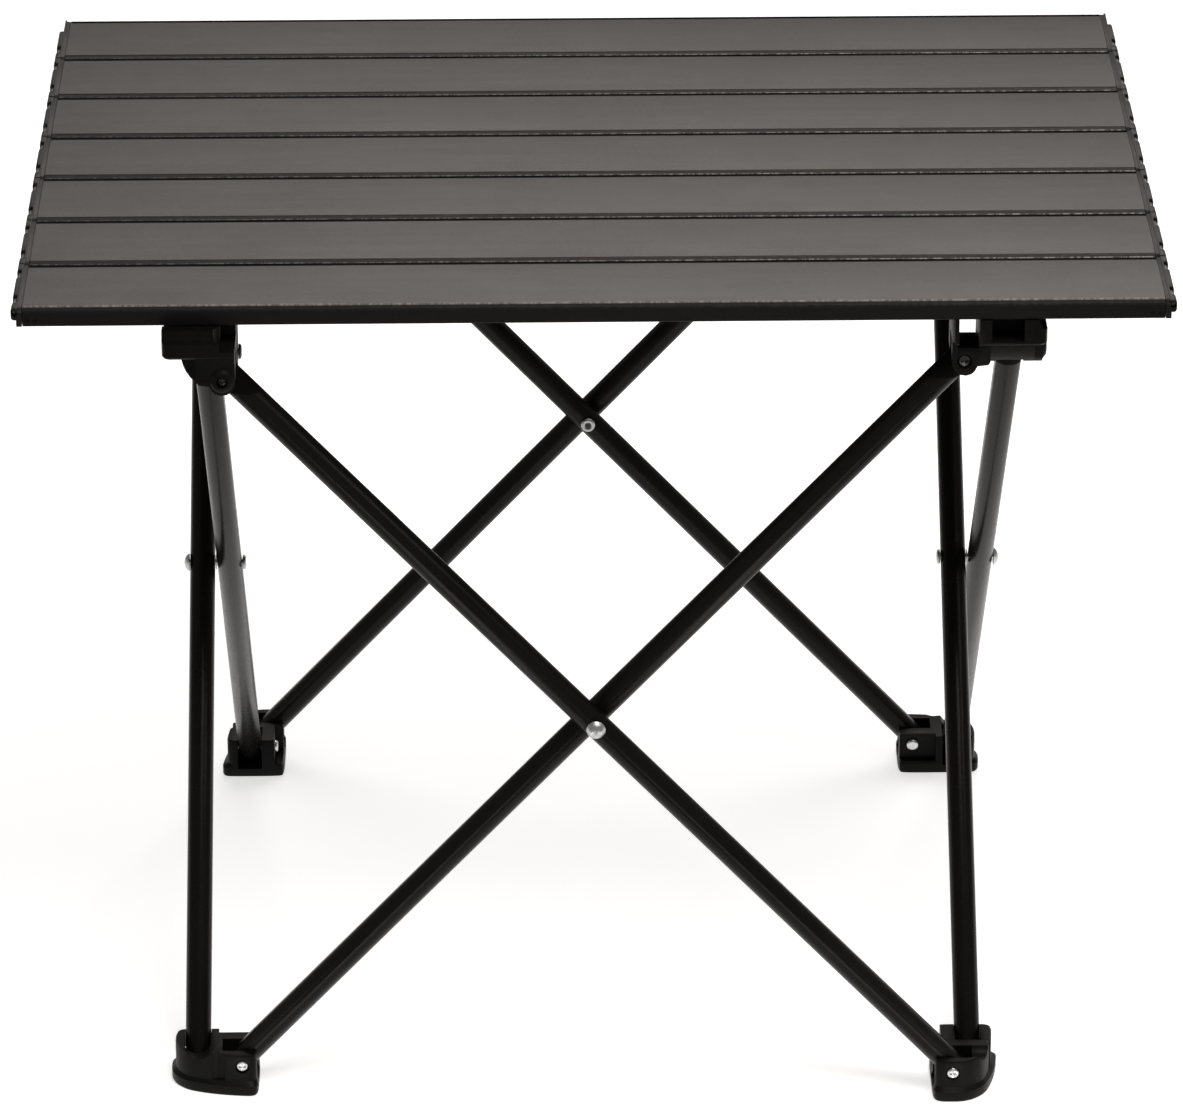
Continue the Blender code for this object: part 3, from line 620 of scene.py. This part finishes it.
def hub_mesh():
    u0, u1, v0, v1 = HUB
    zt, r, z = HUB_TOP, 0.003, Z_UP
    plan = [(u0, v0 + r), (u0 + r * 0.3, v0 + r * 0.3), (u0 + r, v0), (u1, v0), (u1, v1), (u0 + r, v1),
            (u0 + r * 0.3, v1 - r * 0.3), (u0, v1 - r)]

    def ring(zz, g):
        cu, cv = (u0 + u1) / 2, (v0 + v1) / 2
        return [(-H + cu + (u - cu) * g, -H + cv + (v - cv) * g, z + zz) for u, v in plan]
    body = loft([ring(0.0114, 0.955), ring(0.0126, 1.0), ring(zt, 1.0)])
    lobe = [(-0.0124, 0.0125), (-0.0124, -0.0006), (-0.0114, -0.0020), (-0.0062, -0.0026), (-0.0050, -0.0050),
            (-0.0034, -0.0066), (-0.0008, -0.0074), (0.0022, -0.0070), (0.0044, -0.0054), (0.0058, -0.0030),
            (u1, 0.0), (u1, 0.0125)]
    front = prism(lobe, "v", v0 + 0.0006, VI - 0.0030)
    side = prism(lobe, "u", UI - SLOT - 0.0042, u1)
    flank = prism([(-0.0200, 0.0125), (-0.0196, 0.0100), (-0.0188, 0.0068), (-0.0175, 0.0036), (-0.0156, 0.0006),
                   (-0.0132, -0.0020), (-0.0112, -0.0022), (-0.0100, 0.0125)], "v", -0.0340, VI - 0.0030)
    boss = lathe([(0, VO - 0.0178), (0.0030, VO - 0.0178), (0.0044, VO - 0.0174), (0.0054, VO - 0.0166), (0.0060, VO - 0.0156),
                  (0.0060, VO - 0.0110), (0, VO - 0.0110)],
                 BOSS_N, (0, 1, 0), (-H, -H, z))
    cuts = [
        # outer tube slot, runs inward and down
        uv_box(-SWEEP, FAR, VO - SNUG, VO + SNUG, -FAR, SWEEP, z),
        # inner tube slot
        uv_box(UI - SNUG, UI + SNUG, -SWEEP, FAR, -FAR, SWEEP, z),
        # opening over the inner tube's end, right through under the slat
        uv_box(-FAR, FAR, -0.0066, 0.0034, 0.0070, FAR, z),
        uv_box(UI, FAR, -0.0066, 0.0034, 0.0048, FAR, z),
        # window in the front face over the outer tube's end
        uv_box(-0.0010, FAR, -FAR, VO + SLOT, 0.0152, FAR, z),
        lathe([(0, 0.0152), (0.0050, 0.0152), (0.0050, 0.060), (0, 0.060)], BOSS_N * 2, (0, 0, 1),
              (-H + 0.0011, -H - 0.0345, z)),
        # pocket in the outer side face
        uv_box(-FAR, -0.0130, -0.0280, -0.0124, 0.0134, FAR, z),
        # latch ledge along the front edge
        prism([(-0.050, zt - 0.0052), (-0.0366, zt - 0.0052), (-0.0362, zt - 0.0034), (-0.0352, zt - 0.0030),
               (-0.0346, zt + 0.01), (-0.050, zt + 0.01)], "u", -0.06, 0.06),
        # pin holes and counterbores
        rod(PIN_HOLE, (-H, -H + VO - 0.02, z), (-H, -H - 0.0125, z), PIN_N),
        rod(0.0028, (-H, -H + VO - 0.03, z), (-H, -H + VO - 0.0145, z), PIN_N + 2),
        rod(PIN_HOLE, (-H - 0.03, -H, z), (-H + 0.02, -H, z), PIN_N),
        rod(0.0036, (-H - 0.03, -H, z), (-H - 0.0180, -H, z), PIN_N + 2),
    ]
    return cut(body, cuts, add=[front, side, flank, boss], bevel=0.0005, seg=3)


def chaikin(pts, times):
    """Closed outline with its corners cut round."""
    for _ in range(times):
        pts = [q for a, b in zip(pts, pts[1:] + pts[:1])
               for q in ((a[0] * 0.78 + b[0] * 0.22, a[1] * 0.78 + b[1] * 0.22),
                         (a[0] * 0.22 + b[0] * 0.78, a[1] * 0.22 + b[1] * 0.78))]
    return pts


def foot_mesh():
    z = Z_LO
    # plan outline of the base and of the upper part, u then v
    out = [(0.0080, -0.0200), (0.0070, -0.0232), (0.0040, -0.0244), (-0.0095, -0.0226), (-0.0190, -0.0202),
           (-0.0280, -0.0167), (-0.0340, -0.0107), (-0.0366, -0.0045), (-0.0366, 0.0052), (-0.0350, 0.0088),
           (-0.0310, 0.0100), (0.0055, 0.0100), (0.0080, 0.0080)]
    up = [(0.0074, -0.0176), (0.0064, -0.0202), (0.0036, -0.0216), (-0.0090, -0.0206), (-0.0180, -0.0186),
          (-0.0268, -0.0157), (-0.0318, -0.0105), (-0.0344, -0.0045), (-0.0344, 0.0048), (-0.0330, 0.0082),
          (-0.0300, 0.0092), (0.0054, 0.0092), (0.0074, 0.0076)]
    out, up = chaikin(out, 2), chaikin(up, 2)

    def ring(pts, zz, g=1.0):
        cu = sum(p[0] for p in pts) / len(pts)
        cv = sum(p[1] for p in pts) / len(pts)
        return [(-H + cu + (u - cu) * g, -H + cv + (v - cv) * g, z + zz) for u, v in pts]
    body = loft([ring(out, -Z_LO, 0.975), ring(out, -Z_LO + 0.0010), ring(out, -0.0098),
                 ring(up, -0.0078), ring(up, FOOT_TOP - 0.0012), ring(up, FOOT_TOP, 0.972)])
    cuts = [
        # outer tube slot, runs back and up
        uv_box(UO - SNUG, UO + SNUG, -SWEEP, FAR, -SWEEP, FAR, z),
        # inner tube slot, runs right and up
        uv_box(-SWEEP, FAR, VI - SNUG, VI + SNUG, -SWEEP, FAR, z),
        # saddle notch in front of the outer tube
        rod(0.0070, (-H + UO, -H - 0.030, z + 0.0096), (-H + UO, -H - 0.009, z + 0.0096), SADDLE_N),
        # back corner lowered behind the inner clevis
        uv_box(UO + SLOT + 0.0036, FAR, 0.0046, FAR, -0.0078, FAR, z),
        # shallow flute in the front face between the two clevises
        lathe([(0, -0.0078), (0.0050, -0.0078), (0.0050, 0.040), (0, 0.040)], SADDLE_N, (0, 0, 1),
              (-H - 0.0130, -H - 0.0232, z)),
        # pin holes and screw counterbores
        rod(PIN_HOLE, (-H, -H - 0.03, z), (-H, -H + 0.01, z), PIN_N),
        rod(PIN_HOLE, (-H + UO - 0.02, -H, z), (-H - 0.0125, -H, z), PIN_N),
        rod(0.0036, (-H + UO - 0.03, -H, z), (-H + UO - 0.0098, -H, z), PIN_N + 2),
        rod(0.0036, (-H, -H - 0.03, z), (-H, -H - 0.0188, z), PIN_N + 2),
    ]
    return cut(body, cuts, bevel=0.0009, seg=3, angle=34)


# ---------------------------------------------------------------- fasteners
def screw(centre, axis, head_at, tail_at, head_r, tail_r=0.0, tail_t=0.0015):
    hr = head_r
    prof = [(0, head_at)] + [(hr * math.sin(math.radians(a)) * 0.98, head_at + 0.0009 * (1 - math.cos(math.radians(a))))
                             for a in (15, 30, 45, 60, 75)]
    prof += [(hr, head_at + 0.0010), (hr, head_at + 0.0016), (hr - 0.0001, head_at + 0.0017),
             (PIN_R, head_at + 0.0017), (PIN_R, tail_at)]
    if tail_r:
        prof += [(tail_r, tail_at), (tail_r, tail_at + tail_t * 0.4), (tail_r * 0.86, tail_at + tail_t * 0.85),
                 (tail_r * 0.6, tail_at + tail_t), (0, tail_at + tail_t)]
    else:
        prof += [(0, tail_at)]
    body = lathe(prof, 36, axis, centre)
    ax, e1, e2 = basis(axis)
    cross = []
    for a, b in ((e1, e2), (e2, e1)):
        d = (a + b * 0.0).normalized()
        m = loft([[tuple(Vector(centre) + ax * (head_at + z) + d * (u * k) + b * (v * k2)) for u, v in
                   ((-1, -1), (1, -1), (1, 1), (-1, 1))]
                  for z, k, k2 in ((-0.0008, hr * 0.66, 0.00042), (0.0001, hr * 0.60, 0.00040), (0.0013, hr * 0.30, 0.00026))])
        cross.append(m)
    return cut(body, cross)


def rivet_mesh():
    y0, yi, g = -P_OUT - TUBE_R, -P_IN + TUBE_R, GAP
    prof = [(0.0, -0.0031)]
    for a in (8, 16, 26, 36, 46, 56, 66):
        prof.append((0.0047 * math.sin(math.radians(a)) / math.sin(math.radians(72)),
                     -g - 0.0028 * (math.cos(math.radians(a)) - math.cos(math.radians(72))) / (1 - math.cos(math.radians(72)))))
    prof += [(0.0047, -g - 0.0002), (0.0046, -g), (PIN_R, -g)]
    m0 = (P_OUT - P_IN - 2 * TUBE_R) / 2
    yc = 2 * TUBE_R + m0
    prof += [(PIN_R, yc - m0 + g), (0.0040, yc - m0 + g), (0.0040, yc + m0 - g), (PIN_R, yc + m0 - g)]
    t = yi - y0
    prof += [(PIN_R, t + g), (0.0034, t + g), (0.0037, t + 0.0006), (0.0038, t + 0.0011), (0.0036, t + 0.0016),
             (0.0032, t + 0.0019), (0.0027, t + 0.0020), (0.0021, t + 0.0019), (0.0016, t + 0.0015), (0.0013, t + 0.0009),
             (0.0011, t - 0.0020), (0, t - 0.0020)]
    return lathe(prof, 48, (0, 1, 0), (0, y0, Z_MID))


outer, inner, hub, foot, rivet = tube_mesh("outer"), tube_mesh("inner"), hub_mesh(), foot_mesh(), rivet_mesh()
pin_ho = screw((-H, -H, Z_UP), (0, 1, 0), VO - 0.0168, -0.0128, 0.0024)
pin_hi = screw((-H, -H, Z_UP), (1, 0, 0), -0.0198, 0.0066, 0.0031, 0.0038)
pin_fi = screw((-H, -H, Z_LO), (0, 1, 0), -0.0208, 0.0050, 0.0031, 0.0034)
pin_fo = screw((-H, -H, Z_LO), (1, 0, 0), UO - 0.0118, -0.0128, 0.0030)

for k in range(4):
    sd, cn = SIDES[k], CORNERS[k]
    place("tube_outer_" + sd, turned(outer, k), "leg", "leg_outer_" + sd)
    place("tube_inner_" + sd, turned(inner, k), "leg", "leg_inner_" + sd)
    place("crossing_rivet_" + sd, turned(rivet, k), "rivet", "rivet_" + sd, angle=50)
    place("corner_hub_" + cn, turned(hub, k), "hub", "hub_" + cn)
    place("corner_foot_" + cn, turned(foot, k), "foot", "foot_" + cn)
    place("screw_head_hub_outer_" + cn, turned(pin_ho, k), "pinb", "screw_hub_outer_" + cn, angle=50)
    place("screw_head_hub_inner_" + cn, turned(pin_hi, k), "pinb", "screw_hub_inner_" + cn, angle=50)
    place("screw_head_foot_inner_" + cn, turned(pin_fi, k), "pin", "screw_foot_inner_" + cn, angle=50)
    place("screw_head_foot_outer_" + cn, turned(pin_fo, k), "pin", "screw_foot_outer_" + cn, angle=50)


# ---------------------------------------------------------------- floor, light, camera
def plane(name, x0, x1, y0, y1, z, mat):
    bm = bmesh.new()
    bmesh.ops.create_grid(bm, x_segments=4, y_segments=4, size=0.5)
    for v in bm.verts:
        v.co = Vector(((x0 + x1) / 2 + v.co.x * (x1 - x0), (y0 + y1) / 2 + v.co.y * (y1 - y0), 0))
    me = to_mesh(bm)
    if me.polygons[0].normal.z < 0:
        me.flip_normals()
    me.materials.append(mat)
    o = bpy.data.objects.new(name, me)
    bpy.context.collection.objects.link(o)
    o.location.z = z
    return o


m = Mat("studio_floor")
soft = m.noise(2.5, 3.0, 0.5)
tone = m.ramp(soft, ((0.2, (0.86, 0.86, 0.855)), (0.8, (0.88, 0.88, 0.88))))
m.set(Base_Color=tone, Emission_Color=tone, Emission_Strength=0.72, Roughness=0.9, Specular_IOR_Level=0.1)
plane("studio_floor", -9, 9, -9, 9, -0.0002, m.m)

# black card in front of the table, seen by reflections only
m = Mat("studio_flag")
m.set(Base_Color=m.ramp(m.noise(6, 2.0, 0.5), ((0.2, 0.004), (0.8, 0.006))), Roughness=0.9, Specular_IOR_Level=0.0)
flag = plane("studio_flag", -2.2, 2.2, -3.0, -0.44, 0.002, m.m)
flag.visible_camera = False
flag.visible_shadow = False
flag.visible_diffuse = False

# narrow bright strips leading from the front feet towards the camera
m = Mat("studio_strip")
glow = m.ramp(m.noise(3, 2.0, 0.5), ((0.2, (0.96, 0.93, 0.90)), (0.8, (1.0, 0.97, 0.94))))
m.set(Base_Color=glow, Emission_Color=glow, Emission_Strength=4.2, Roughness=0.9, Specular_IOR_Level=0.0)
for tag, x0 in (("left", -P_IN), ("right", P_OUT)):
    bm = bmesh.new()
    corners = []
    for d, half in ((0.03, 0.006), (0.68, 0.072)):
        xc = x0 * (1 - d / 3.1)
        corners.append([(xc - half, -P_OUT - d, 0.003), (xc + half, -P_OUT - d, 0.003)])
    q = [bm.verts.new(p) for p in (corners[0][0], corners[0][1], corners[1][1], corners[1][0])]
    f = bm.faces.new(q)
    me = bpy.data.meshes.new("strip")
    if f.normal.z < 0:
        f.normal_flip()
    bm.to_mesh(me)
    bm.free()
    me.materials.append(m.m)
    o = bpy.data.objects.new("studio_strip_" + tag, me)
    bpy.context.collection.objects.link(o)
    o.visible_camera = False
    o.visible_shadow = False
    o.visible_diffuse = False


def area(name, loc, target, sx, sy, power, colour=(1, 1, 1)):
    d = bpy.data.lights.new(name, "AREA")
    d.shape, d.size, d.size_y, d.energy, d.color = "RECTANGLE", sx, sy, power, colour
    o = bpy.data.objects.new(name, d)
    bpy.context.collection.objects.link(o)
    o.location = loc
    o.rotation_mode = "QUATERNION"
    o.rotation_quaternion = (Vector(target) - Vector(loc)).to_track_quat("-Z", "Y")
    o.visible_camera = False
    return o


WARM = (1.0, 0.932, 0.896)
area("overhead_front", (0.45, -1.1, 2.5), (0, 0, 0.2), 0.9, 0.9, 30, WARM)
area("back_soft", (0.22, 1.35, 1.50), (0.05, 0, 0.43), 1.5, 1.1, 15, WARM)
area("right_key", (1.9, -1.2, 2.0), (0, 0, 0.3), 0.5, 0.5, 3, WARM)

world = bpy.data.worlds.new("studio")
bpy.context.scene.world = world
world.use_nodes = True
world.node_tree.nodes["Background"].inputs[0].default_value = (1, 1, 1, 1)
world.node_tree.nodes["Background"].inputs[1].default_value = 0.22
bpy.context.scene.view_settings.view_transform = "Standard"

F_PX, YAW, PITCH_C, ROLL = 6993.79177, 0.01194, 0.41585, -0.0029
CX, CY = 610.77121, 563.65603
IMG_W, IMG_H = 1183, 1112
LOC = Vector((-0.02972041, -3.32711698, 1.67221509))


def camera():
    sy, cy, sp, cp = math.sin(YAW), math.cos(YAW), math.sin(PITCH_C), math.cos(PITCH_C)
    cr, sr = math.cos(ROLL), math.sin(ROLL)
    fwd = Vector((sy * cp, cy * cp, -sp))
    right = Vector((cy, -sy, 0))
    up = right.cross(fwd)
    r0 = right * cr + up * sr
    r1 = -right * sr + up * cr
    d = bpy.data.cameras.new("camera")
    d.sensor_width = 36.0
    d.lens = F_PX / IMG_W * 36.0
    d.shift_x = (IMG_W / 2 - CX) / IMG_W
    d.shift_y = (CY - IMG_H / 2) / IMG_W
    d.clip_start, d.clip_end = 0.05, 60
    o = bpy.data.objects.new("camera", d)
    bpy.context.collection.objects.link(o)
    m = Matrix((r0, r1, -fwd)).transposed().to_4x4()
    m.translation = LOC
    o.matrix_world = m
    bpy.context.scene.camera = o


camera()
